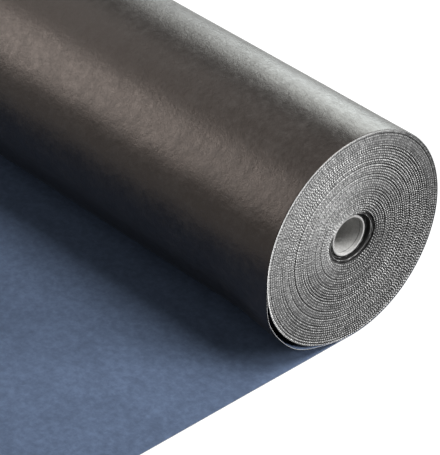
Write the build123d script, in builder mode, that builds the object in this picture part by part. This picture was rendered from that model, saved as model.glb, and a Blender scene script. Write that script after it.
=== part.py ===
from build123d import *
from math import cos, pi, radians, sin, sqrt
import os

os.makedirs("parts", exist_ok=True)

# The sheet as it is sold
membrane_width = 1000.0
membrane_length = 50000.0
membrane_thickness = 0.95

# The unrolled end of the sheet that lies flat in front of the roll
tail_length = 480.0

# The core tube, and how far its ends stand back inside the roll
tube_bore_diameter = 42.0
tube_wall = 2.5
tube_end_break = 0.4
tube_recess = 8.0
winding_clearance = 0.3

# The innermost turns are pushed in at both ends, round the tube
inner_turns = 9
step_turns = 4
step_depth = 5.5
tube_proud = 2.0

# The wound turns on the ends: each ridge is a group of turns, and the mouth is dished
turns_per_ridge = 4
ridge_height = 1.0
ridge_scatter = 0.8
scatter_cycle = 5
scatter_stride = 2
dish_depth = 2.2
dish_width = 18.0

# The sheet's fleece gives this much where the roll lies on the flat end
fleece_give = 0.2
lap_bite = 1.0

# The last turn hangs loose at the lower front beside the +X end
loose_gap = 7.0
loose_direction = 208.0
loose_half_angle = 38.0
loose_reach = 90.0
loose_taper = ((0.0, 1.0), (0.3, 0.72), (0.65, 0.22), (1.0, -0.12))

# Sizes that follow
half_width = membrane_width / 2
tube_radius = tube_bore_diameter / 2 + tube_wall
tube_length = membrane_width - 2 * tube_recess
bore_radius = tube_radius + winding_clearance
wound_area = (membrane_length - tail_length) * membrane_thickness
roll_radius = sqrt(bore_radius**2 + wound_area / pi)
pack_radius = roll_radius - membrane_thickness + fleece_give
mouth_radius = bore_radius + inner_turns * membrane_thickness
step_radius = bore_radius + step_turns * membrane_thickness
inner_depth = tube_recess + tube_proud
ridge_count = round((pack_radius - mouth_radius) / (turns_per_ridge * membrane_thickness))
ridge_width = (pack_radius - mouth_radius) / ridge_count

roll_axis = Axis((0, 0, roll_radius), (1, 0, 0))
section_plane = Plane(origin=(0, 0, roll_radius), x_dir=(1, 0, 0), z_dir=(0, -1, 0))


def end_depth(radius, ridge):
    """Depth of a ridge's crest behind the roll's end: its own scatter, plus the dish round the mouth."""
    scatter = ridge_scatter * (ridge * scatter_stride % scatter_cycle) / scatter_cycle
    into_dish = max(0.0, 1 - (radius - mouth_radius) / dish_width)
    return scatter + dish_depth * into_dish**2


def end_outline():
    """Radius and depth of the points of one end, from the bore out to the last turn."""
    outline = [
        (bore_radius, inner_depth),
        (step_radius, inner_depth),
        (step_radius, step_depth),
        (mouth_radius, step_depth),
    ]
    for ridge in range(ridge_count):
        inside = mouth_radius + ridge * ridge_width
        crest = inside + ridge_width / 2
        depth = end_depth(crest, ridge)
        outline += [(inside, depth + ridge_height), (crest, depth)]
    outline.append((pack_radius, ridge_height))
    return outline


# The wound pack: its half section turned once round the roll's axis
right_end = [(half_width - depth, radius) for radius, depth in end_outline()]
left_end = [(-x, radius) for x, radius in reversed(right_end)]
with BuildPart() as pack:
    with BuildSketch(section_plane) as pack_section:
        with BuildLine():
            Polyline(*right_end, *left_end, close=True)
        make_face()
    revolve(axis=roll_axis)

# The loose part of the last turn: round sections whose centre moves back into the pack along the roll
loose_rise = loose_gap + membrane_thickness
chord_share = pack_radius * (1 - cos(radians(loose_half_angle)))
centre_offset = (loose_rise**2 + 2 * pack_radius * loose_rise) / (2 * (loose_rise + chord_share))
loose_radius = pack_radius + loose_rise - centre_offset


def loose_centre(share):
    """Centre, in the plane across the roll, of the round section that stands out by this share."""
    offset = centre_offset - loose_rise * (1 - share)
    angle = radians(loose_direction)
    return (offset * cos(angle), roll_radius + offset * sin(angle))


def loose_sections(radius):
    """Round sections of the loose turn, at this radius, from inside the roll out to its end."""
    sections = []
    for along, share in reversed(loose_taper):
        with BuildSketch(Plane.YZ.offset(half_width - along * loose_reach)) as section:
            with Locations(loose_centre(share)):
                Circle(radius)
        sections.append(section.sketch)
    return sections


with BuildPart() as loose_gap_space:
    loft(loose_sections(loose_radius - membrane_thickness))
    with BuildSketch(Plane.YZ.offset(half_width - loose_reach)):
        with Locations((0, roll_radius)):
            Circle(pack_radius)
    extrude(amount=loose_reach, mode=Mode.SUBTRACT)

with BuildPart() as loose_lap:
    loft(loose_sections(loose_radius))
    with BuildSketch(Plane.YZ.offset(half_width - loose_reach)):
        with Locations((0, roll_radius)):
            Circle(pack_radius - lap_bite)
    extrude(amount=loose_reach, mode=Mode.SUBTRACT)

# The last turn: four quarter arcs, each a quarter of a thickness tighter, and the flat end on the floor
quarter_step = membrane_thickness / 4
with BuildPart() as last_turn:
    with BuildSketch(Plane.YZ.offset(-half_width)) as lap_section:
        with BuildLine():
            CenterArc((0, roll_radius), roll_radius, -90, 90)
            CenterArc((quarter_step, roll_radius), roll_radius - quarter_step, 0, 90)
            CenterArc((quarter_step, roll_radius + quarter_step), roll_radius - 2 * quarter_step, 90, 90)
            front = CenterArc((0, roll_radius + quarter_step), roll_radius - 3 * quarter_step, 180, 60)
            Polyline(front @ 1, (0, roll_radius), (0, 0))
        make_face()
        with Locations((0, roll_radius)):
            Circle(pack_radius - lap_bite, mode=Mode.SUBTRACT)
        with Locations((0, 0)):
            Rectangle(tail_length, membrane_thickness, align=(Align.MAX, Align.MIN))
    extrude(amount=membrane_width)

with BuildPart() as membrane:
    add(pack.part)
    add(last_turn.part)
    add(loose_lap.part)
    add(loose_gap_space.part, mode=Mode.SUBTRACT)
membrane.part.label = "membrane"
export_step(membrane.part, "parts/membrane.step")

# The core tube, cut shorter than the sheet is wide
with BuildPart() as core_tube:
    with BuildSketch(Plane.YZ.offset(-tube_length / 2)) as tube_section:
        with Locations((0, roll_radius)):
            Circle(tube_radius)
            Circle(tube_bore_diameter / 2, mode=Mode.SUBTRACT)
    extrude(amount=tube_length)
    chamfer(core_tube.edges().filter_by(GeomType.CIRCLE), length=tube_end_break)
core_tube.part.label = "core_tube"
export_step(core_tube.part, "parts/core_tube.step")
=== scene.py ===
"""Roll of roofing underlayment: the dressed surfaces of its wound fleece sheet and its board core tube.

Everything is in metres in the frame of the CAD part: +X runs along the roll's axis, the unrolled end of the
sheet lies towards -Y, and +Z is up. Angles round the roll start under it and run towards +Y.
"""

import logging
from collections.abc import Sequence
from dataclasses import dataclass
from enum import Enum
from functools import partial
from math import cos, pi, radians, sin, sqrt

import bpy
import numpy as np
from mathutils import Matrix, Vector


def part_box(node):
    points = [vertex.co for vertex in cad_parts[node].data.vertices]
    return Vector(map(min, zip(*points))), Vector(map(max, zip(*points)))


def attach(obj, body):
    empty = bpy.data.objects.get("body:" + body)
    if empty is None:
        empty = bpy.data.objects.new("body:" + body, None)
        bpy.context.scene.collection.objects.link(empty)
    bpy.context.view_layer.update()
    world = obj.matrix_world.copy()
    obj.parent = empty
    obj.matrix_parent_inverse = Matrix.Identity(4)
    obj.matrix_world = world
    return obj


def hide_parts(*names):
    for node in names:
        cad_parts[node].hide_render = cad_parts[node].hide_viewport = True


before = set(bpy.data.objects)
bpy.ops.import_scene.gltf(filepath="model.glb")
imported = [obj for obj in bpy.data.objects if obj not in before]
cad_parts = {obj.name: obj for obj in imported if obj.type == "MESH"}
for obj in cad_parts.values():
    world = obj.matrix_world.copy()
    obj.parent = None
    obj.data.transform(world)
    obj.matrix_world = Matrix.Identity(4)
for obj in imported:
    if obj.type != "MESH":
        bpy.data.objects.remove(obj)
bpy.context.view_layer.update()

Array = np.ndarray
Colour = Triple = tuple[float, float, float]
Pair = tuple[float, float]
Wave = tuple[float, float, float, float]
Material = bpy.types.Material
Piece = bpy.types.Object
Socket = bpy.types.NodeSocket

LOG = logging.getLogger("roll")
# What two equal lengths or shares may differ by after their sums
ROUNDING = 1e-9
# The seeded noises: random heights along a line, and waves round a ring
NOISE_KNOTS = 512
RING_WAVES = (2, 3, 5, 8, 13, 19)
RING_WAVE_HEIGHT = 2.4


class Face(Enum):
    """Sides of the sheet, by their material index."""

    OUTER = 0
    INNER = 1
    EDGE = 2


class End(Enum):
    """Ends of the roll, by the sign of their X."""

    RIGHT = 1
    LEFT = -1


class NodeSheet:
    """One node tree, with short ways to add its nodes."""

    def __init__(self, tree: bpy.types.NodeTree) -> None:
        """Keeps the tree that the nodes go into."""
        self.tree = tree

    def feed(self, node: bpy.types.Node, inputs: dict[str | int, object]) -> None:
        """Gives each of these inputs its link or its constant."""
        for key, value in inputs.items():
            if isinstance(value, Socket):
                self.tree.links.new(value, node.inputs[key])
            else:
                node.inputs[key].default_value = value

    def add(self, kind: str, inputs: dict[str | int, object] | None = None, **settings: object) -> bpy.types.Node:
        """Adds one node.

        Args:
            kind: the node's type name, less its first part.
            inputs: links and constants for its inputs.
            settings: properties of the node.

        Returns:
            The new node.
        """
        node = self.tree.nodes.new(f"ShaderNode{kind}")
        for key, value in settings.items():
            setattr(node, key, value)
        self.feed(node, inputs or {})
        return node

    def layout(self, layer: str) -> Socket:
        """The piece's UV map of this name, which counts metres or turns of the sheet."""
        return self.add("UVMap", uv_map=layer).outputs["UV"]

    def attribute(self, name: str) -> Socket:
        """A number that each point of the mesh carries."""
        return self.add("Attribute", attribute_name=name).outputs["Fac"]

    def noise(self, vector: Socket, scale: float, detail: float, roughness: float = 0.5) -> Socket:
        """Noise of about 0.5, with so many cycles a metre."""
        inputs = {"Vector": vector, "Scale": scale, "Detail": detail, "Roughness": roughness}
        return self.add("TexNoise", inputs).outputs["Fac"]

    def streaks(self, vector: Socket, cycles: Pair, angle: float = 0.0, **grain: float) -> Socket:
        """Noise in streaks: the coordinates are turned by an angle in degrees, and have so many cycles along each."""
        turned = self.add("Mapping", {"Vector": vector, "Rotation": (0, 0, radians(angle))})
        stretched = self.add("Mapping", {"Vector": turned.outputs[0], "Scale": (*cycles, 1)})
        return self.noise(stretched.outputs[0], 1.0, **grain)

    def math(self, operation: str, first: Socket | float, second: Socket | float = 0.0) -> Socket:
        """One arithmetic step on numbers."""
        return self.add("Math", {0: first, 1: second}, operation=operation).outputs[0]

    def spread(self, value: Socket, low: float, high: float) -> Socket:
        """Stretches the range from low to high over 0 to 1, smoothly and clamped."""
        inputs = {"Value": value, "From Min": low, "From Max": high}
        return self.add("MapRange", inputs, interpolation_type="SMOOTHSTEP").outputs["Result"]

    def weighted(self, *parts: tuple[Socket, float]) -> Socket:
        """Sum of numbers times their weights."""
        total, *others = (self.math("MULTIPLY", *part) for part in parts)
        for other in others:
            total = self.math("ADD", total, other)
        return total

    def split(self, vector: Socket) -> bpy.types.NodeOutputs:
        """The coordinates one by one, as outputs called X, Y and Z."""
        return self.add("SeparateXYZ", {0: vector}).outputs

    def shades(self, factor: Socket, *stops: tuple[float, Colour]) -> Socket:
        """A colour ramp through the stops."""
        node = self.add("ValToRGB", {0: factor})
        ramp = node.color_ramp.elements
        ramp[0].position, ramp[1].position = stops[0][0], stops[-1][0]
        ramp[0].color, ramp[1].color = (*stops[0][1], 1), (*stops[-1][1], 1)
        for position, colour in stops[1:-1]:
            ramp.new(position).color = (*colour, 1)
        return node.outputs["Color"]

    def relief(self, height: Socket, depth: float, strength: float = 1.0) -> Socket:
        """The normal of this height, whose whole range is so many metres deep."""
        return self.add("Bump", {"Height": height, "Distance": depth, "Strength": strength}).outputs[0]


def new_material(name: str) -> Material:
    """A material whose node tree is still empty."""
    material = bpy.data.materials.new(name)
    material.use_nodes = True
    material.node_tree.nodes.clear()
    return material


class FinishSheet(NodeSheet):
    """The node tree of one finish, with a Principled shader on its output."""

    def __init__(self, name: str) -> None:
        """Makes the material of this name and its shader."""
        self.material = new_material(name)
        super().__init__(self.material.node_tree)
        self.shader = self.add("BsdfPrincipled")
        self.add("OutputMaterial", {"Surface": self.shader.outputs[0]})

    def finished(self, **values: object) -> Material:
        """The material, once the shader's sockets have these; an underscore in their names stands for a space."""
        self.feed(self.shader, {key.replace("_", " "): value for key, value in values.items()})
        return self.material


@dataclass(frozen=True)
class FleeceFinish:
    """Spunbonded fleece on one side of the sheet: crossing fibres, cloudy patches and an uneven gloss.

    Clouds, blotches, grain and fibres are noises with so many cycles a metre. Each set of shares weighs the clouds,
    the blotches and the felt, which is the grain and the fibres together.
    """

    name: str
    dark: Colour
    light: Colour
    roughness: float
    specular: float
    tint: Colour
    mottled: Pair = (0.35, 0.70)
    cloud: float = 26.0
    blotch: float = 110.0
    grain: float = 260.0
    fibre: Pair = (130.0, 780.0)
    fibre_angles: tuple[float, ...] = (17.0, 78.0, 139.0)
    grain_share: float = 0.70
    fibre_share: float = 0.10
    mottle_shares: Triple = (0.22, 0.38, 0.40)
    gloss_shares: Triple = (0.12, 0.22, 0.24)
    gloss_middle: float = 0.29
    gloss_peak: float = 0.06
    relief_shares: Triple = (2.0, 0.0, 0.8)
    relief_depth: float = 0.0004

    def build(self) -> Material:
        """Makes the material on the sheet's own metres; no spot is glossier than the peak allows."""
        nodes = FinishSheet(self.name)
        flat = nodes.layout("sheet")
        grain = nodes.noise(flat, self.grain, detail=3.0, roughness=0.75)
        fibres = ((nodes.streaks(flat, self.fibre, angle, detail=1.0), self.fibre_share) for angle in self.fibre_angles)
        felt = nodes.weighted((grain, self.grain_share), *fibres)
        clouds = nodes.noise(flat, self.cloud, detail=3.0, roughness=0.6)
        layers = (clouds, nodes.noise(flat, self.blotch, detail=2.0, roughness=0.6), felt)
        all_shares = (self.mottle_shares, self.gloss_shares, self.relief_shares)
        mottle, uneven, relief = (nodes.weighted(*zip(layers, shares)) for shares in all_shares)
        rough = nodes.math("ADD", uneven, self.roughness - self.gloss_middle)
        return nodes.finished(
            Base_Color=nodes.shades(nodes.spread(mottle, *self.mottled), (0.0, self.dark), (1.0, self.light)),
            Roughness=nodes.math("MAXIMUM", rough, self.roughness - self.gloss_peak),
            Specular_IOR_Level=self.specular,
            Specular_Tint=(*self.tint, 1),
            Normal=nodes.relief(relief, self.relief_depth),
        )


@dataclass(frozen=True)
class CutEdgeFinish:
    """Cut edges of the wound turns: pale crests, dark gaps, each turn with its own flecks.

    Flecks are noises with so many cycles a metre along the turns and so many a turn across them.
    """

    name: str
    gap: Colour
    middle: Colour
    crest: Colour
    # Palest stop, reached above all where the painted rim highlight lies
    rim: Colour
    fleck: Pair = (420.0, 1.0)
    fine_fleck: Pair = (1400.0, 3.0)
    fleck_share: float = 0.70
    fine_share: float = 0.36
    turn_share: float = 0.05
    darkest: float = 0.53
    tone_range: float = 1.4
    middle_place: float = 0.36
    crest_place: float = 0.72
    roughness: float = 0.75
    specular: float = 0.3
    relief_shares: Triple = (0.3, 0.7, 0.6)
    relief_depth: float = 0.0004
    relief_strength: float = 0.5

    def build(self) -> Material:
        """Makes the material from the tone at each point and, in the UV map, the way along and across the turns."""
        nodes = FinishSheet(self.name)
        turns = nodes.layout("turns")
        flecks = nodes.streaks(turns, self.fleck, detail=2.0, roughness=0.6)
        fine = nodes.streaks(turns, self.fine_fleck, detail=1.0)
        wave = nodes.math("SINE", nodes.math("MULTIPLY", nodes.split(turns)["Y"], 2 * pi))
        tone = nodes.weighted(
            (nodes.attribute("tone"), 1.0), (flecks, self.fleck_share), (fine, self.fine_share), (wave, self.turn_share)
        )
        shade = nodes.math("DIVIDE", nodes.math("SUBTRACT", tone, self.darkest), self.tone_range)
        stops = ((0.0, self.gap), (self.middle_place, self.middle), (self.crest_place, self.crest), (1.0, self.rim))
        relief = nodes.weighted(*zip((wave, fine, flecks), self.relief_shares))
        return nodes.finished(
            Base_Color=nodes.shades(shade, *stops),
            Roughness=self.roughness,
            Specular_IOR_Level=self.specular,
            Normal=nodes.relief(relief, self.relief_depth, self.relief_strength),
        )


@dataclass(frozen=True)
class BoardFinish:
    """Spirally wound board of the core tube: pale grey paper with its seams and fibres."""

    name: str
    dark: Colour
    light: Colour
    cloud: float = 55.0
    pulp: Pair = (350.0, 1500.0)
    pulp_angle: float = 28.0
    seam_pitch: float = 0.075
    seam_half_share: float = 0.012
    tone_shares: Triple = (0.5, 0.4, 0.25)
    mottled: Pair = (0.42, 0.88)
    roughness: float = 0.7
    specular: float = 0.35
    relief_shares: Pair = (0.3, 0.7)
    relief_depth: float = 0.0003
    relief_strength: float = 0.6

    def build(self) -> Material:
        """Makes the material on the tube's own metres: a seam line on the spiral, flecks and soft clouds."""
        nodes = FinishSheet(self.name)
        wall = nodes.layout("board")
        clouds = nodes.noise(wall, self.cloud, detail=3.0, roughness=0.6)
        pulp = nodes.streaks(wall, self.pulp, self.pulp_angle, detail=3.0, roughness=0.6)
        way = nodes.split(wall)
        around = nodes.math("ADD", nodes.math("DIVIDE", way["X"], self.seam_pitch), way["Z"])
        off = nodes.math("ABSOLUTE", nodes.math("SUBTRACT", nodes.math("FRACT", around), 0.5))
        seam = nodes.spread(off, 0.0, self.seam_half_share)
        tone = nodes.weighted(*zip((clouds, pulp, seam), self.tone_shares))
        relief = nodes.weighted(*zip((pulp, seam), self.relief_shares))
        return nodes.finished(
            Base_Color=nodes.shades(nodes.spread(tone, *self.mottled), (0.0, self.dark), (1.0, self.light)),
            Roughness=self.roughness,
            Specular_IOR_Level=self.specular,
            Normal=nodes.relief(relief, self.relief_depth, self.relief_strength),
        )


@dataclass(frozen=True)
class PlainFinish:
    """One colour all over, for the sheet's own cut edges, which are too thin to show flecks."""

    name: str
    colour: Colour
    roughness: float = 0.75
    specular: float = 0.3

    def build(self) -> Material:
        """Makes the material from constants alone."""
        constants = {"Base_Color": (*self.colour, 1), "Roughness": self.roughness, "Specular_IOR_Level": self.specular}
        return FinishSheet(self.name).finished(**constants)


def in_scene(name: str, data: bpy.types.ID) -> Piece:
    """A new object with this data, linked into the scene."""
    thing = bpy.data.objects.new(name, data)
    bpy.context.scene.collection.objects.link(thing)
    return thing


@dataclass
class Surface:
    """The arrays of one mesh: points, faces of three or four corners, and what the corners and points carry."""

    points: Array
    faces: list[Array]
    corner_uv: list[Array]
    finish: list[Array]
    layer: str
    tone: Array | None = None
    crease: Array | None = None

    def build(self, name: str, materials: list[Material]) -> Piece:
        """Puts the arrays into a mesh.

        Args:
            name: the piece's name.
            materials: its materials, by index.

        Returns:
            The object, at the origin, smooth shaded, with sharp edges along its creases.
        """
        mesh = bpy.data.meshes.new(name)
        corners = np.concatenate([faces.ravel() for faces in self.faces])
        sizes = np.concatenate([np.full(len(faces), faces.shape[1]) for faces in self.faces])
        mesh.vertices.add(len(self.points))
        mesh.vertices.foreach_set("co", self.points.astype(np.float32).ravel())
        mesh.loops.add(len(corners))
        mesh.loops.foreach_set("vertex_index", corners.astype(np.int32))
        mesh.polygons.add(len(sizes))
        mesh.polygons.foreach_set("loop_start", (np.cumsum(sizes) - sizes).astype(np.int32))
        mesh.polygons.foreach_set("use_smooth", np.ones(len(sizes), bool))
        mesh.polygons.foreach_set("material_index", np.concatenate(self.finish).astype(np.int32))
        mesh.update(calc_edges=True)
        uv = np.concatenate([part.reshape(-1, 2) for part in self.corner_uv])
        mesh.uv_layers.new(name=self.layer).data.foreach_set("uv", uv.astype(np.float32).ravel())
        if self.tone is not None:
            mesh.attributes.new("tone", "FLOAT", "POINT").data.foreach_set("value", self.tone.astype(np.float32))
        if self.crease is not None:
            ends = np.zeros(len(mesh.edges) * 2, np.int32)
            mesh.edges.foreach_get("vertices", ends)
            first, second = self.crease[ends.reshape(-1, 2)].T
            sharp = mesh.attributes.new("sharp_edge", "BOOLEAN", "EDGE")
            sharp.data.foreach_set("value", (first > 0) & (first == second))
        for material in materials:
            mesh.materials.append(material)
        return in_scene(name, mesh)


def dressed(piece: Piece, node: str) -> Piece:
    """Lets a piece ride with the part in place of one of its CAD nodes.

    Args:
        piece: the piece.
        node: the CAD node that it replaces.

    Returns:
        The same piece.
    """
    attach(piece, "root")
    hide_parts(node)
    return piece


def cells(grid: Array) -> Array:
    """What a grid has at the four corners of each of its cells: faces from point numbers, or values for them."""
    corners = np.stack([grid[:-1, :-1], grid[:-1, 1:], grid[1:, 1:], grid[1:, :-1]], 2)
    return corners.reshape(-1, *corners.shape[2:])


def wrapped(grid: Array) -> Array:
    """The grid with its first column again after its last."""
    return np.concatenate([grid, grid[:, :1]], 1)


def unpinched(corners: Array, values: Array) -> tuple[list[Array], list[Array]]:
    """Turns faces of which two neighbouring corners are one point into triangles, and drops those with fewer.

    Args:
        corners: point numbers of four-cornered faces.
        values: what their corners carry.

    Returns:
        The whole faces and the triangles, and the same for the values.
    """
    pinched = corners == np.roll(corners, -1, 1)
    whole = ~pinched.any(1)
    once = pinched.sum(1) == 1
    pick = (np.argmax(pinched[once], axis=1)[:, None] + np.arange(1, 4)) % 4
    triangles = np.take_along_axis(corners[once], pick, 1)
    triangle_values = np.take_along_axis(values[once], pick[..., None], 1)
    return [corners[whole], triangles], [values[whole], triangle_values]


def compact(faces: list[Array]) -> tuple[Array, list[Array]]:
    """Numbers of the points that some face uses, and the faces renumbered for those alone."""
    used = np.unique(np.concatenate([part.ravel() for part in faces]))
    return used, [np.searchsorted(used, part) for part in faces]


def ease(share: Array) -> Array:
    """Smooth step from 0 to 1 over a share from 0 to 1."""
    share = np.clip(share, 0, 1)
    return share * share * (3 - 2 * share)


def raised_to(low: float, share: Array) -> Array:
    """A share from 0 to 1, made to run from low to 1."""
    return low + (1 - low) * share


def crossing_waves(waves: Sequence[Wave], first: Array, second: Array) -> Array:
    """Sum of sines, each with its height, its rates along the first and the second coordinate, and its phase."""
    return sum(height * np.sin(rate * first + other * second + phase) for height, rate, other, phase in waves)


def knotted_noise(place: Array, step: float, seed: int) -> Array:
    """Seeded noise from -1 to 1 along a line: random heights at every step, with eased slopes between."""
    heights = np.random.default_rng(seed).uniform(-1, 1, NOISE_KNOTS)
    knot = np.floor(place / step).astype(int)
    share = ease(place / step - knot)
    return heights[knot % NOISE_KNOTS] * (1 - share) + heights[(knot + 1) % NOISE_KNOTS] * share


def ring_noise(angle: Array, rings: int, seed: int) -> Array:
    """Seeded waves round each of some rings, a row a ring: the mean of six sines with whole numbers of waves."""
    phases = np.random.default_rng(seed).uniform(0, 2 * pi, (rings, len(RING_WAVES), 1))
    return np.sin(np.array(RING_WAVES)[:, None] * angle + phases).mean(1) * RING_WAVE_HEIGHT


@dataclass(frozen=True)
class Side:
    """A side of the roll: its direction round the axis in degrees, and the level and swing of a cosine about it."""

    direction: float
    level: float
    swing: float

    def share(self, angle: Array) -> Array:
        """1 on this side and 0 on the other: the eased sum of the level and the swing times the cosine."""
        return ease(self.level + self.swing * np.cos(angle - radians(self.direction)))


@dataclass(frozen=True)
class LooseTurn:
    """Where the last turn hangs loose beside the right end, and the turn beneath it follows a little."""

    rise: Pair = (radians(271), radians(296))
    fall: Pair = (radians(317), radians(345))
    height: float = 0.00665
    beneath: float = 0.0016
    reach: float = 0.090

    def share(self, angle: Array) -> Array:
        """0 to 1 round the roll: an eased rise, a stretch at full height and an eased fall."""
        climb = ease((angle - self.rise[0]) / (self.rise[1] - self.rise[0]))
        return climb * ease((self.fall[1] - angle) / (self.fall[1] - self.fall[0]))

    def along(self, inset: Array) -> Array:
        """1 at the roll's end and 0 from the reach inwards, as a squared cosine."""
        return np.cos(pi / 2 * np.clip(inset / self.reach, 0, 1)) ** 2


@dataclass(frozen=True)
class RollSizes:
    """Sizes of the roll, in metres, read from the CAD boxes."""

    radius: float
    half_width: float
    tail: float
    tube_radius: float
    tube_half: float
    sheet: float = 0.00095
    tube_wall: float = 0.0025
    winding_clearance: float = 0.0003
    loose: LooseTurn = LooseTurn()

    @classmethod
    def from_frame(cls) -> "RollSizes":
        """Reads the boxes of the CAD nodes."""
        low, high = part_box("membrane")
        tube_low, tube_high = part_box("core_tube")
        return cls(high.y, high.x, -low.y, (tube_high.z - tube_low.z) / 2, tube_high.x)

    def across(self, radius: Array, angle: Array) -> tuple[Array, Array]:
        """Y and Z of points at a radius and an angle round the roll's axis."""
        return radius * np.sin(angle), self.radius - radius * np.cos(angle)

    def inner_line(self, angle: Array, blend: float = radians(14)) -> Array:
        """Radius of the last turn's inner face: one sheet in, and one more over a whole turn, eased at its join."""
        turn = angle / (2 * pi)
        after = np.clip(1 - angle / blend, 0, 1)
        before = np.clip(1 - (2 * pi - angle) / blend, 0, 1)
        return self.radius - self.sheet * (1 + turn + 0.5 * after - 0.5 * before)


@dataclass(frozen=True)
class WrappedSheet:
    """The sheet from its flat end on the floor, under the roll and once round it, as a thin closed shell.

    Its sections along the roll lie at the insets beside both ends, and between them at a coarse pitch, then a fine
    one beside the loose turn. The pulls are the shares of the thickness that round the edge off at the insets.
    """

    sizes: RollSizes
    tail_steps: int = 60
    wrap_steps: int = 312
    wrap_end: float = radians(359)
    insets: tuple[float, ...] = (0.0, 0.00012, 0.0004)
    pulls: tuple[float, ...] = (0.3, 0.105, 0.0)
    plain_inset: float = 0.0012
    fine_reach: float = 0.1
    coarse_steps: int = 60
    fine_steps: int = 38
    edge_band: float = 0.001
    slack_height: float = 0.00010
    slack_start: float = 0.5
    slack_waves: tuple[Wave, ...] = ((0.5, 7, 9, 0.0), (0.6, 3, -23, 1.3), (0.4, 2, 41, 0.0))
    tail_height: float = 0.00032
    tail_waves: tuple[Wave, ...] = ((1, 21, 6, 0.0), (1, -9, 11, 0.7))
    still_tail: float = 0.05
    tail_rise: float = 0.2

    @property
    def length(self) -> float:
        """Length of the sheet from its flat end to the end of its turn."""
        return self.sizes.tail + self.sizes.radius * self.wrap_end

    def stations(self) -> tuple[Array, Array]:
        """X of the sections along the roll, close together at the loose end, and how rounded the edge is there."""
        half, inset = self.sizes.half_width, np.array(self.insets)
        coarse = np.linspace(-half + self.plain_inset, half - self.fine_reach, self.coarse_steps)
        fine = np.linspace(half - self.fine_reach, half - self.plain_inset, self.fine_steps)[1:]
        x = np.concatenate([-half + inset, coarse, fine, half - inset[::-1]])
        pull = np.zeros_like(x)
        pull[: len(inset)], pull[-len(inset) :] = self.pulls, self.pulls[::-1]
        return x, pull

    def slack(self, angle: Array, x: Array) -> Array:
        """Slight unevenness of the wound sheet: three crossing waves of a tenth of a millimetre or so."""
        return self.slack_height * crossing_waves(self.slack_waves, angle, x) * ease(angle / self.slack_start)

    def lift(self, y: Array, x: Array) -> Array:
        """Height of the flat end's two crossing waves: never below the floor, and none near the roll."""
        waves = len(self.tail_waves) + crossing_waves(self.tail_waves, y, x)
        return self.tail_height * waves * ease((-y - self.still_tail) / self.tail_rise)

    def sides(self) -> tuple[Array, Array, Array]:
        """Points of the outer and the inner face, and the length along the sheet.

        The flat end is a plane with low waves. The turn is a spiral that comes in by one sheet all round, plus the
        loose turn's share times its height, plus the slack.

        Returns:
            Two grids of points, along the sheet by along the roll, and the run of each row in metres.
        """
        size, loose = self.sizes, self.sizes.loose
        x, pull = self.stations()
        tail_y = np.linspace(-size.tail, 0, self.tail_steps, endpoint=False)
        angle = np.linspace(0, self.wrap_end, self.wrap_steps)
        run = np.concatenate([tail_y, angle * size.radius]) + size.tail
        tail_grid, tail_x = np.meshgrid(tail_y, x, indexing="ij")
        turn_grid, turn_x = np.meshgrid(angle, x, indexing="ij")
        floor_gap = self.lift(tail_grid, tail_x)
        stand_off = loose.height * loose.share(turn_grid) * loose.along(size.half_width - turn_x)
        radius = size.radius - size.sheet * turn_grid / (2 * pi) + stand_off + self.slack(turn_grid, turn_x)
        grids = []
        for depth in (pull * size.sheet, (1 - pull) * size.sheet):
            y, z = size.across(radius - depth, turn_grid)
            flat = np.stack([tail_x, tail_grid, floor_gap + depth], -1)
            grids.append(np.concatenate([flat, np.stack([turn_x, y, z], -1)]))
        return grids[0], grids[1], run

    def build(self, materials: list[Material]) -> Piece:
        """Closes the two faces along all four edges and puts the sheet into the scene.

        Args:
            materials: finishes of the outer face, the inner face and the cut edges.

        Returns:
            The sheet.
        """
        outer, inner, run = self.sides()
        rows, columns = outer.shape[:2]
        number = np.arange(rows * columns).reshape(rows, columns)
        other = number + rows * columns
        metres = np.stack([outer[..., 0], np.broadcast_to(run[:, None], (rows, columns))], -1)
        along, aside = np.eye(2)[::-1] * self.edge_band
        edges = (
            (other[0], number[0], metres[0], along),
            (number[-1], other[-1], metres[-1], along),
            (number[:, 0], other[:, 0], metres[:, 0], aside),
            (other[:, -1], number[:, -1], metres[:, -1], aside),
        )
        strips = [(number.T, metres.transpose(1, 0, 2), Face.OUTER), (other, metres, Face.INNER)]
        strips += [(np.stack([a, b]), np.stack([line, line + step]), Face.EDGE) for a, b, line, step in edges]
        faces, uv = ([cells(strip[part]) for strip in strips] for part in (0, 1))
        finish = [np.full(len(part), side.value) for part, (_, _, side) in zip(faces, strips)]
        points = np.concatenate([outer.reshape(-1, 3), inner.reshape(-1, 3)])
        crease = np.zeros(len(points), int)
        crease[number[[0, -1]]] = 1
        crease[other[[0, -1]]] = 2
        surface = Surface(points, faces, uv, finish, "sheet", crease=crease)
        return dressed(surface.build("fleece_sheet", materials), "membrane")


@dataclass(frozen=True)
class Ridges:
    """What the ridges of an end are like at each of its points, as arrays of one shape."""

    angle: Array
    crest: Array
    drift: Array
    valley: Array
    shoulder: Array
    dents: Array
    flecks: Array
    lively: Array
    dish: Array


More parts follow.
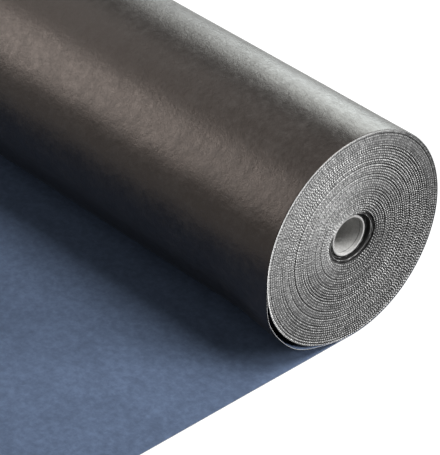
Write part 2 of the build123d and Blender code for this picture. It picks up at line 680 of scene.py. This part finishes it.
@dataclass(frozen=True)
class Liveliness:
    """How strongly the crests are dented: most towards the low back, in bands, and less in a patch by the rim.

    A cosine round the roll is added to crossing waves. The patch lies outside a share of the roll's radius.
    """

    level: float = 0.28
    swing: float = 0.95
    low_back: float = radians(50)
    bands: int = 7
    band_height: float = 0.12
    band_turns: int = 5
    band_rate: float = 160
    limits: Pair = (0.2, 1.35)
    patch_side: Side = Side(145, -1.2, 2.5)
    patch_inside: float = 0.855
    patch_fade: float = 0.02
    patch_calm: float = 0.6

    def at(self, radius: Array, angle: Array, rim: float, seed: int) -> Array:
        """The strength of the dents.

        Args:
            radius: radii of the points.
            angle: their angles.
            rim: radius of the roll.
            seed: seed of the waves.

        Returns:
            The strength at each point.
        """
        draw, most = np.random.default_rng(seed), self.band_rate
        waves = [
            (1, draw.integers(0, self.band_turns), draw.uniform(-most, most), draw.uniform(0, 2 * pi))
            for _ in range(self.bands)
        ]
        low_back = 0.5 + 0.5 * np.cos(angle - self.low_back)
        patch = ease((radius / rim - self.patch_inside) / self.patch_fade) * self.patch_side.share(angle)
        strength = self.level + self.swing * low_back + self.band_height * crossing_waves(waves, angle, radius)
        return np.clip(strength, *self.limits) * (1 - self.patch_calm * patch)


@dataclass(frozen=True)
class EdgeTones:
    """How much each trait of the ridges adds to their tone, which runs from 0, a gap, to 1, a pale crest."""

    middle: float = 0.46
    crest: float = 0.62
    mean_crest: float = 0.6
    calm_crest: float = 0.1
    dents: float = -1.15
    calm_dents: float = 0.22
    flecks: float = 0.17
    valley: float = -0.36
    shoulder: float = 0.22
    drift: float = -0.06
    # Painted light round the end, by direction: paler towards the upper front, darker on the far side, with a weaker
    # second swing (across)
    painted_front_light: float = 0.17
    painted_front_light_angle: float = radians(229)
    across: float = 0.05
    painted_swing_angle: float = radians(220)
    # Painted highlight on the dished ground round the mouth, on its upper front side
    dish: float = 0.22
    painted_dish_highlight_zone: Side = Side(229, 0.4, 0.6)

    def at(self, ridges: Ridges) -> Array:
        """Adds everything up; painted light makes the upper front paler and the far side darker, and a painted
        highlight lies on the dish there.
        """
        crest = self.crest * (ridges.crest - self.mean_crest) * raised_to(self.calm_crest, ridges.lively)
        dents = self.dents * raised_to(self.calm_dents, ridges.lively) * (ridges.dents - 0.5) * ridges.crest
        grooves = self.valley * ridges.valley + self.shoulder * ridges.shoulder + self.drift * ridges.drift
        # Painted light: brighter towards the upper front and darker on the far side, by angle alone
        side = self.painted_front_light * np.cos(ridges.angle - self.painted_front_light_angle)
        side = side + self.across * np.cos(2 * (ridges.angle - self.painted_swing_angle))
        # Painted highlight on the dish, strongest on the upper front side
        dish = self.dish * ridges.dish * self.painted_dish_highlight_zone.share(ridges.angle)
        return self.middle + crest + dents + self.flecks * ridges.flecks + grooves + side + dish


@dataclass(frozen=True)
class WoundTurns:
    """The turns wound on the tube: each end is cut by one spiral of ridges, every ridge a few turns wide.

    The innermost turns are pushed in, and the mouth that they leave is an oval, wider than it is high. Lengths
    across a ridge are shares of its width, and those along it are turns. The calm shares are what is left of a
    ridge and its dents where nothing is lively.
    """

    sizes: RollSizes
    turns_per_ridge: int = 3
    ridge_height: float = 0.0011
    calm_ridge: float = 0.25
    drift: float = 0.00035
    drift_step: float = 0.31
    dent_pitch: float = 0.0031
    dent_depth: float = 0.0010
    calm_dents: float = 0.35
    dent_scatter: float = 0.25
    crest_rise: float = 0.00025
    least_depth: float = 0.00005
    dish_depth: float = 0.0022
    dish_width: float = 0.018
    gap_shares: tuple[float, ...] = (0.372, 0.46, 0.55, 0.583, 0.674, 0.739, 0.814, 0.847, 0.96)
    gap_strength: Triple = (0.75, 0.25, 5.1)
    gap_depth: float = 0.0009
    gap_reach: float = 0.62
    gap_fade: float = 0.16
    valley_width: float = 0.24
    shoulder_place: float = 0.42
    shoulder_width: float = 0.15
    mouth_turns: float = 7.6
    mouth_oval: float = 0.0026
    step_turns: float = 3.8
    step_depth: float = 0.0055
    floor_depth: float = 0.010
    liveliness: Liveliness = Liveliness()
    tones: EdgeTones = EdgeTones()

    @property
    def pitch(self) -> float:
        """Width of one ridge."""
        return self.turns_per_ridge * self.sizes.sheet

    @property
    def bore(self) -> float:
        """Radius of the hole that the tube fills."""
        return self.sizes.tube_radius + self.sizes.winding_clearance

    @property
    def start(self) -> float:
        """Radius at which the count of ridges starts, outside the pack."""
        return self.sizes.radius - self.sizes.sheet + self.pitch

    def mouth_line(self, angle: Array) -> Array:
        """Radius of the mouth: a circle, less a cosine of twice the angle."""
        return self.bore + self.mouth_turns * self.sizes.sheet - self.mouth_oval * np.cos(2 * angle)

    def step_line(self, angle: Array) -> Array:
        """Radius out to which the turns are pushed in further, half as oval as the mouth."""
        return self.bore + self.step_turns * self.sizes.sheet - 0.5 * self.mouth_oval * np.cos(2 * angle)

    def strip(self, radius: Array, angle: Array) -> tuple[Array, Array]:
        """Where points lie on the spiral: turns of ridge along it, and the share of the way across the ridge."""
        across = (self.start - radius) / self.pitch - angle / (2 * pi)
        ridge = np.floor(across + ROUNDING)
        return ridge + angle / (2 * pi), across - ridge

    def arc(self, place: Array) -> Array:
        """Length along the spiral: two pi times the radius, summed over the turns of ridge."""
        return 2 * pi * ((self.start - self.pitch / 2) * place - self.pitch * place**2 / 2)

    def gaps(self, boundary: Array) -> Array:
        """How open the gap is along each boundary between ridges: eased pulses a turn and a bit long.

        Their strength is a mean and a swing times the sine of a rate times the gap's number.
        """
        middles = (self.start - np.array(self.gap_shares) * self.sizes.radius) / self.pitch
        mean, swing, rate = self.gap_strength
        opened = np.zeros_like(boundary)
        for number, middle in enumerate(middles):
            pulse = ease((self.gap_reach - np.abs(boundary - middle)) / self.gap_fade)
            opened = np.maximum(opened, (mean + swing * sin(rate * number)) * pulse)
        return opened

    def ridges(self, radius: Array, angle: Array, seed: int) -> Ridges:
        """Describes the ridges at points given by radius and angle.

        A crest is a squared sine across its ridge. The ridge's own drift along the roll is eased into the next one's
        at the valley between. Dents of one pitch follow the spiral's length, so that they line up in some sectors and
        fall between each other in others, and flecks half as long are scattered over them. Named valleys are opened
        further, and the ground dips round the mouth.

        Args:
            radius: radii of the points.
            angle: their angles.
            seed: seed of the unevenness.

        Returns:
            The ridges.
        """
        place, across = self.strip(radius, angle)
        crest = np.sin(pi * across) ** 2
        before, own, after = (knotted_noise(place + turn, self.drift_step, seed) for turn in (-1, 0, 1))
        from_valley = np.minimum(across, 1 - across)
        opened = self.gaps(np.where(across < 0.5, place, place + 1))
        from_shoulder = from_valley - self.shoulder_place
        return Ridges(
            angle=angle,
            crest=crest,
            drift=own + 0.5 * (np.where(across < 0.5, before, after) - own) * (1 - crest),
            valley=opened * np.exp(-((from_valley / self.valley_width) ** 2)),
            shoulder=opened * np.exp(-((from_shoulder / self.shoulder_width) ** 2)),
            dents=0.5 - 0.5 * np.cos(2 * pi * self.arc(place) / self.dent_pitch),
            flecks=knotted_noise(self.arc(place), self.dent_pitch / 2, seed + 2),
            lively=self.liveliness.at(radius, angle, self.sizes.radius, seed + 1),
            dish=np.clip(1 - (radius - self.mouth_line(angle)) / self.dish_width, 0, 1) ** 2,
        )

    def depth(self, ridges: Ridges) -> Array:
        """Depth behind the roll's end: valleys, drift, dents on the crests, open gaps and the dish, added up."""
        ridge = self.ridge_height * (1 - ridges.crest) * raised_to(self.calm_ridge, ridges.lively)
        dented = raised_to(self.calm_dents, ridges.lively) * ridges.dents - self.dent_scatter * ridges.flecks
        ground = self.drift * (1 + ridges.drift) + self.gap_depth * ridges.valley + self.dish_depth * ridges.dish
        depth = ridge + self.dent_depth * ridges.crest * dented + ground - self.crest_rise
        return np.maximum(depth, self.least_depth)


@dataclass(frozen=True)
class Rings:
    """Closed rings round the axis: radius, depth behind the roll's end and tone, and whether each ring is sharp."""

    radius: Array
    depth: Array
    tone: Array
    sharp: Array

    @classmethod
    def joined(cls, *parts: "Rings") -> "Rings":
        """Sets of rings one after the other."""
        grids = (np.vstack([getattr(part, key) for part in parts]) for key in ("radius", "depth", "tone"))
        return cls(*grids, np.concatenate([part.sharp for part in parts]))


@dataclass(frozen=True)
class PushedTurns:
    """The innermost turns, pushed in round the tube: walls with painted shade that deepens as they go in, and low
    ridges on shelves darker than the end's face, partly their own dark gaps and partly painted shade in the hole.
    """

    wall_shares: tuple[float, ...] = (0.12, 0.4, 0.75, 1.0)
    # Painted shade down the walls of the hole: the wall tone less this much at the bottom
    wall_tone: float = 0.05
    painted_wall_shade: float = 0.40
    shelf_turns: int = 4
    ridge_height: float = 0.0006
    ridge_wander: float = 0.0003
    edge_height: float = 0.0004
    # The shelves' valleys are darker than the end's own gaps: partly painted shade deep in the hole
    valley_tone: float = -0.28
    ridge_tone: float = 0.42
    edge_tone: float = 0.65

    def wall(self, radius: Array, top: Array, bottom: float) -> Rings:
        """The side of a step, with a ring at each share of its depth, and painted shade that darkens it towards the
        bottom.
        """
        share = np.array(self.wall_shares)[:, None]
        depth = top + (bottom - top) * share
        # Painted shade: darker the deeper down the wall
        tone = self.wall_tone - self.painted_wall_shade * share + 0 * depth
        return Rings(radius + 0 * depth, depth, tone, share[:, 0] == 1)

    def shelf(self, wide: Array, narrow: Array, level: float, edge: float, seed: int) -> Rings:
        """Pushed-in turns between two radii, each a low ridge that wanders, the innermost with a paler edge.

        Args:
            wide: outer radius, round the ring.
            narrow: inner radius.
            level: depth of the valleys.
            edge: how much of the paler edge the innermost ridge has.
            seed: seed of the wandering.

        Returns:
            Two rings a turn, a ridge and a valley.
        """
        angle = np.linspace(0, 2 * pi, len(wide))
        waves = np.repeat(ring_noise(angle, self.shelf_turns, seed), 2, 0)
        half_turns = 2 * self.shelf_turns
        half_turn = np.arange(1, half_turns + 1)[:, None]
        raised, last = half_turn % 2, (half_turn == half_turns - 1) * edge
        lift = raised * (self.ridge_height + self.ridge_wander * waves + self.edge_height * last)
        tone = self.valley_tone + self.ridge_tone * raised * (1 + waves) + self.edge_tone * last
        radius = wide + (narrow - wide) * half_turn / half_turns
        return Rings(radius, level - lift, tone, half_turn[:, 0] == half_turns)


@dataclass(frozen=True)
class WoundEnd:
    """One band of the wound turns at one end of the roll, from its relief back to the roll's middle."""

    turns: WoundTurns
    end: End
    name: str
    columns: int
    rows_per_ridge: int
    seed: int
    inside: float | None = None
    outside: float | None = None
    pushed: PushedTurns = PushedTurns()
    rim_width: float = 0.0026
    rim_flatness: float = 0.8
    # Painted highlight along the rim on its lit side, and painted shade along the rest of the rim
    painted_rim_highlight: float = 0.72
    painted_rim_shade: float = 0.12
    painted_lit_side: Side = Side(232, 0.35, 1.1)
    back_tone: float = 0.3

    def rim(self, angle: Array) -> Array:
        """Radius of the band's outer side; the last turn's inner face bulges where that turn hangs loose."""
        if self.outside is not None:
            return np.full_like(angle, self.outside)
        size = self.turns.sizes
        bulge = size.loose.beneath * size.loose.share(angle) if self.end is End.RIGHT else 0.0
        return size.inner_line(angle) + bulge

    def inner_side(self, angle: Array) -> Array:
        """Radius of the band's inner side."""
        return self.turns.mouth_line(angle) if self.inside is None else np.full_like(angle, self.inside)

    def spiral(self) -> tuple[Array, Array, Array]:
        """The relief's grid along the spiral, held between the band's two sides.

        Each column is a step round the roll and each row a step inwards, and a column's rows lie a little further
        in than those of the column before, by one ridge in a whole turn. Rows beyond a side are drawn on to it.

        Returns:
            Radii, angles and point numbers, each with the first column again after the last. There the numbers run
            on by one ridge, so that the grid is closed.
        """
        turns = self.turns
        angle = np.linspace(0, 2 * pi, self.columns + 1)
        rim, inside = self.rim(angle), self.inner_side(angle)
        rows = int(self.rows_per_ridge * ((turns.start - inside.min()) / turns.pitch + 1)) + 2
        across = np.arange(rows)[:, None] / self.rows_per_ridge + angle[None] / (2 * pi)
        radius = turns.start - turns.pitch * across
        outer_row = (radius >= rim - ROUNDING).sum(0) - 1
        inner_row = (radius > inside + ROUNDING).sum(0)
        stand_in = np.clip(np.arange(rows)[:, None], outer_row, inner_row)
        number = stand_in[:, :-1] * self.columns + np.arange(self.columns)
        run_on = np.clip(np.arange(rows) + self.rows_per_ridge, 0, rows - 1)
        number = np.concatenate([number, number[run_on, :1]], 1)
        return np.clip(radius, inside, rim), np.broadcast_to(angle, radius.shape), number

    def relief(self, radius: Array, angle: Array) -> tuple[Array, Array]:
        """Depth and tone of the grid; beside the rim the relief flattens, with a painted highlight on its upper front
        side and painted shade along the rest of it.
        """
        ridges = self.turns.ridges(radius, angle, self.seed)
        depth, tone = self.turns.depth(ridges), self.turns.tones.at(ridges)
        if self.outside is None:
            near_rim = ease(1 - (self.rim(angle) - radius) / self.rim_width)
            # Painted highlight on the rim's lit side, painted shade elsewhere along the rim
            lit = self.painted_lit_side.share(angle)
            tone = tone + near_rim * ((self.painted_rim_highlight + self.painted_rim_shade) * lit - self.painted_rim_shade)
            depth = depth * (1 - self.rim_flatness * near_rim)
        return depth, tone

    def hole(self, angle: Array, top: Array) -> Rings:
        """The stepped hole round the tube, from the relief's inner side at this depth down to the bore."""
        turns, pushed = self.turns, self.pushed
        mouth, step, bore = turns.mouth_line(angle), turns.step_line(angle), turns.bore + 0 * angle
        return Rings.joined(
            pushed.wall(mouth, top, turns.step_depth),
            pushed.shelf(mouth, step, turns.step_depth, 1.0, self.seed + 5),
            pushed.wall(step, turns.step_depth + 0 * angle, turns.floor_depth),
            pushed.shelf(step, bore, turns.floor_depth, 0.0, self.seed + 6),
        )

    def rings(self, angle: Array, top: Array) -> Rings:
        """All rings between the relief's inner and its outer side, by way of the roll's middle."""
        middle = np.full((2, len(angle)), self.turns.sizes.half_width)
        inside = np.full_like(angle, self.turns.bore if self.inside is None else self.inside)
        tone = np.full_like(middle, self.back_tone)
        back = Rings(np.stack([inside, self.rim(angle)]), middle, tone, np.ones(2, bool))
        return Rings.joined(self.hole(angle, top), back) if self.inside is None else back

    def build(self, materials: list[Material]) -> Piece:
        """Makes the relief, its sides and its back one closed surface.

        Args:
            materials: finishes of the cut edges and of the sheet's outer face.

        Returns:
            The band of turns.
        """
        turns, size, columns = self.turns, self.turns.sizes, self.columns
        radius, angle, number = self.spiral()
        depth, tone = self.relief(radius, angle)
        place, across = turns.strip(radius, angle)
        spiral_uv = np.stack([turns.arc(place), (place + across) * turns.turns_per_ridge], -1)
        faces, uv = unpinched(cells(number), cells(spiral_uv))

        rings = self.rings(angle[0], depth[-1])
        ring_number = radius[:, 1:].size + np.arange(rings.radius[:, 1:].size).reshape(-1, columns)
        ring_grid = wrapped(np.vstack([number[-1:, :-1], ring_number, number[:1, :-1]]))
        radii = np.vstack([radius[-1:], rings.radius, radius[:1]])
        depths = np.vstack([depth[-1:], rings.depth, depth[:1]])
        ring_uv = np.stack([angle[:1] * radii, (depths - radii) / size.sheet], -1)
        faces.append(cells(ring_grid))
        uv.append(cells(ring_uv))
        finish = [np.zeros(len(part), int) for part in faces]
        finish[-1][-columns:] = 1

        radii, depths, tones = (
            np.vstack([inner[:, :-1], outer[:, :-1]]).ravel()
            for inner, outer in ((radius, rings.radius), (depth, rings.depth), (tone, rings.tone))
        )
        y, z = size.across(radii, np.tile(angle[0, :-1], len(radii) // columns))
        points = np.stack([self.end.value * (size.half_width - depths), y, z], -1)
        crease = np.zeros(len(points), int)
        crease[number[-1, :-1]] = 1
        crease[number[0, :-1]] = 2
        crease[ring_number] = np.where(rings.sharp, 3 + np.arange(len(rings.sharp)), 0)[:, None]
        used, faces = compact(faces)
        if self.end is End.LEFT:
            faces = [part[:, ::-1] for part in faces]
            uv = [part[:, ::-1] for part in uv]
        surface = Surface(points[used], faces, uv, finish, "turns", tones[used], crease[used])
        return dressed(surface.build(self.name, materials), "membrane")


@dataclass(frozen=True)
class CoreTube:
    """The board tube: a closed ring profile with rounded rims, turned round the axis."""

    sizes: RollSizes
    columns: int = 160
    rim_steps: int = 6
    wall_steps: int = 24
    rounding: float = 0.0012
    squareness: float = 0.6

    def profile(self) -> tuple[Array, Array]:
        """Radius and X round the wall: out along the inside, over one rim, back along the outside, over the other."""
        size = self.sizes
        middle, half_wall = size.tube_radius - size.tube_wall / 2, size.tube_wall / 2
        turn = np.linspace(0, pi, self.rim_steps * 2 + 1)
        rim_radius = middle - half_wall * np.sign(np.cos(turn)) * np.abs(np.cos(turn)) ** self.squareness
        straight = size.tube_half - self.rounding
        rim_x = straight + self.rounding * np.abs(np.sin(turn)) ** self.squareness
        run = np.linspace(-1, 1, self.wall_steps)[1:-1] * straight
        radius = np.concatenate(
            [np.full_like(run, middle - half_wall), rim_radius, np.full_like(run, middle + half_wall), rim_radius[::-1]]
        )
        return radius, np.concatenate([run, rim_x, run[::-1], -rim_x])

    def build(self, materials: list[Material]) -> Piece:
        """Turns the profile round the roll's axis.

        Args:
            materials: finishes of the board's faces and of its cut rims.

        Returns:
            The tube.
        """
        radius, x = self.profile()
        rows = len(radius)
        angle = np.linspace(0, 2 * pi, self.columns + 1)
        number = wrapped(np.arange(rows * self.columns).reshape(rows, self.columns))
        number = np.vstack([number, number[:1]])
        y, z = self.sizes.across(radius[:, None], angle[None, :-1])
        points = np.stack([np.broadcast_to(x[:, None], y.shape), y, z], -1).reshape(-1, 3)
        x_closed = np.append(x, x[0])
        spread = np.stack(np.broadcast_arrays(x_closed[:, None], angle[None] * self.sizes.tube_radius), -1)
        rim = np.abs(x_closed[:-1] + x_closed[1:]) / 2 > self.sizes.tube_half - 2 * self.rounding
        finish = np.repeat(rim.astype(int), self.columns)
        surface = Surface(points, [cells(number)], [cells(spread)], [finish], "board")
        return dressed(surface.build("board_tube", materials), "core_tube")


def facing(right: Vector, up: Vector, back: Vector, at: Vector) -> Matrix:
    """The place of a lamp or camera at this point, which looks away from its back."""
    return Matrix.Translation(at) @ Matrix((right, up, back)).transposed().to_4x4()


@dataclass(frozen=True)
class Softbox:
    """One large lamp on an arch over the roll, facing it.

    Seen from the roll it lies aside along X, as a share of its distance, and at an angle that runs from the back
    over the top to the front. Its width runs along the roll and its height along the arch, in metres.
    """

    name: str
    aside: float
    angle: float
    width: float
    height: float
    power: float
    distance: float = 5.2
    tint: Colour = (1.0, 1.0, 1.0)

    def build(self, target: Vector) -> None:
        """Puts the lamp at its distance from the target and turns it there."""
        turn, reach = radians(self.angle), sqrt(1 - self.aside**2)
        away = Vector((self.aside, reach * cos(turn), reach * sin(turn)))
        rise = Vector((0, -sin(turn), cos(turn)))
        lamp = bpy.data.lights.new(self.name, "AREA")
        lamp.shape = "RECTANGLE"
        lamp.size, lamp.size_y = self.width, self.height
        lamp.energy, lamp.color = self.power, self.tint
        in_scene(self.name, lamp).matrix_world = facing(rise.cross(away), rise, away, target + away * self.distance)


@dataclass(frozen=True)
class Studio:
    """Pale floor, white surroundings, softboxes and the camera."""

    sizes: RollSizes
    lamps: tuple[Softbox, ...] = (
        Softbox("back", -0.45, 13, 1.8, 4.6, 140, tint=(0.90, 1.0, 1.0)),
        Softbox("front_high", -0.68, 92, 1.2, 4.4, 23),
        Softbox("front", -0.68, 139, 1.3, 3.0, 67),
        Softbox("top", 0.45, 80, 1.4, 1.4, 80, distance=2.9),
        Softbox("end", 0.82, 30, 1.7, 1.7, 300),
    )
    target: Triple = (0.1, -0.05, 0.1)
    ambient: float = 0.012
    white_in_gloss: float = 0.44
    floor_tone: float = 0.18
    floor_glow: float = 0.93
    floor_reach: float = 14.0
    floor_drop: float = 0.0004
    azimuth: float = 47.5
    elevation: float = 34.7
    sensor: float = 36.0
    lens: float = 229.2
    sight: float = 100.0
    distance_in_radii: float = 24.05
    aside_in_radii: float = 1.114
    below_in_radii: float = -0.097

    def camera(self) -> None:
        """Looks at the visible end from the photograph's direction, set off sideways as its frame is."""
        azimuth, elevation, size = radians(self.azimuth), radians(self.elevation), self.sizes
        back = Vector((sin(azimuth) * cos(elevation), -cos(azimuth) * cos(elevation), sin(elevation)))
        right = Vector((cos(azimuth), sin(azimuth), 0))
        up = back.cross(right)
        way = self.distance_in_radii * back - self.aside_in_radii * right - self.below_in_radii * up
        data = bpy.data.cameras.new("camera")
        data.sensor_width, data.lens, data.clip_end = self.sensor, self.lens, self.sight
        camera = in_scene("camera", data)
        centre = Vector((size.half_width, 0, size.radius))
        camera.matrix_world = facing(right, up, back, centre + size.radius * way)
        bpy.context.scene.camera = camera

    def strength(self, nodes: NodeSheet, seen: float, otherwise: float) -> Socket:
        """A strength for camera rays, a share of it for glossy and transmission rays, and one for the rest."""
        path = nodes.add("LightPath").outputs
        mirrored = nodes.math("MAXIMUM", path["Is Glossy Ray"], path["Is Transmission Ray"])
        value: Socket | float = otherwise
        for factor, level in ((mirrored, self.white_in_gloss * seen), (path["Is Camera Ray"], seen)):
            value = nodes.add("MapRange", {"Value": factor, "To Min": value, "To Max": level}).outputs["Result"]
        return value

    def world(self) -> None:
        """White to the eye, a pale room in the sheet's gloss, and a low even light otherwise."""
        world = bpy.data.worlds.new("surroundings")
        world.use_nodes = True
        bpy.context.scene.world = world
        nodes = NodeSheet(world.node_tree)
        inputs = {"Color": (1, 1, 1, 1), "Strength": self.strength(nodes, 1.0, self.ambient)}
        nodes.feed(world.node_tree.nodes["Background"], inputs)

    def floor(self) -> None:
        """A wide floor a hair below the sheet, white to the eye and in gloss but for the soft shadow on it."""
        mesh = bpy.data.meshes.new("floor")
        corners = np.array([(-1, -1), (1, -1), (1, 1), (-1, 1)]) * self.floor_reach
        mesh.from_pydata([(x, y, -self.floor_drop) for x, y in corners], [], [(0, 1, 2, 3)])
        material = new_material("pale_floor")
        nodes = NodeSheet(material.node_tree)
        diffuse = nodes.add("BsdfDiffuse", {"Color": (*(self.floor_tone,) * 3, 1)})
        glow = nodes.add("Emission", {"Strength": self.strength(nodes, self.floor_glow, 0.0)})
        both = nodes.add("AddShader", {0: diffuse.outputs[0], 1: glow.outputs[0]})
        nodes.add("OutputMaterial", {"Surface": both.outputs[0]})
        mesh.materials.append(material)
        floor = in_scene("floor", mesh)

    def build(self) -> None:
        """Sets up everything round the object."""
        bpy.context.scene.view_settings.view_transform = "Standard"
        self.camera()
        self.world()
        self.floor()
        for lamp in self.lamps:
            lamp.build(Vector(self.target))


OUTER_FLEECE = FleeceFinish(
    "outer_fleece",
    dark=(0.0005,) * 3,
    light=(0.021, 0.020, 0.019),
    roughness=0.34,
    specular=0.72,
    tint=(1.0, 0.82, 0.72),
    mottled=(0.43, 0.67),
)
INNER_FLEECE = FleeceFinish(
    "inner_fleece",
    dark=(0.066, 0.090, 0.143),
    light=(0.106, 0.145, 0.229),
    roughness=0.75,
    specular=0.15,
    tint=(0.85, 0.93, 1.0),
)
# Its rim stop is the colour of the painted highlight along the rim's lit side
CUT_EDGE = CutEdgeFinish(
    "cut_edge", gap=(0.004,) * 3, middle=(0.115,) * 3, crest=(0.46, 0.46, 0.455), rim=(0.88, 0.88, 0.87)
)
SHEET_EDGE = PlainFinish("sheet_edge", colour=(0.42,) * 3)
TUBE_WALL = BoardFinish("tube_wall", dark=(0.12, 0.12, 0.118), light=(0.60, 0.595, 0.58))
TUBE_RIM = BoardFinish("tube_rim", dark=(0.27, 0.27, 0.265), light=(0.44, 0.435, 0.43))

# Ridges, counted from the rim, after which the right end's bands meet
BAND_SPLITS = (12, 24)


def report(piece: Piece) -> None:
    """Logs a piece's name and how many points and faces it has."""
    LOG.info("%s: %d points, %d faces", piece.name, len(piece.data.vertices), len(piece.data.polygons))


def main() -> None:
    """Builds the roll piece by piece, then the studio."""
    logging.basicConfig(level=logging.INFO, format="%(name)s: %(message)s")
    sizes = RollSizes.from_frame()
    turns = WoundTurns(sizes)
    outer, inner = OUTER_FLEECE.build(), INNER_FLEECE.build()
    cut, sheet_edge = CUT_EDGE.build(), SHEET_EDGE.build()

    wrapped_sheet = WrappedSheet(sizes)
    sheet = wrapped_sheet.build([outer, inner, sheet_edge])
    report(sheet)
    first_split, second_split = (turns.start - turns.pitch * ridges for ridges in BAND_SPLITS)
    right = partial(WoundEnd, turns, End.RIGHT, columns=1200, rows_per_ridge=5, seed=11)
    bands = (
        right("wound_turns_right_outer", inside=first_split),
        right("wound_turns_right_middle", inside=second_split, outside=first_split),
        right("wound_turns_right_inner", outside=second_split),
        WoundEnd(turns, End.LEFT, "wound_turns_left", columns=560, rows_per_ridge=4, seed=23),
    )
    for band in bands:
        report(band.build([cut, outer]))
    report(CoreTube(sizes).build([TUBE_WALL.build(), TUBE_RIM.build()]))

    Studio(sizes).build()


if __name__ == "__main__":
    main()
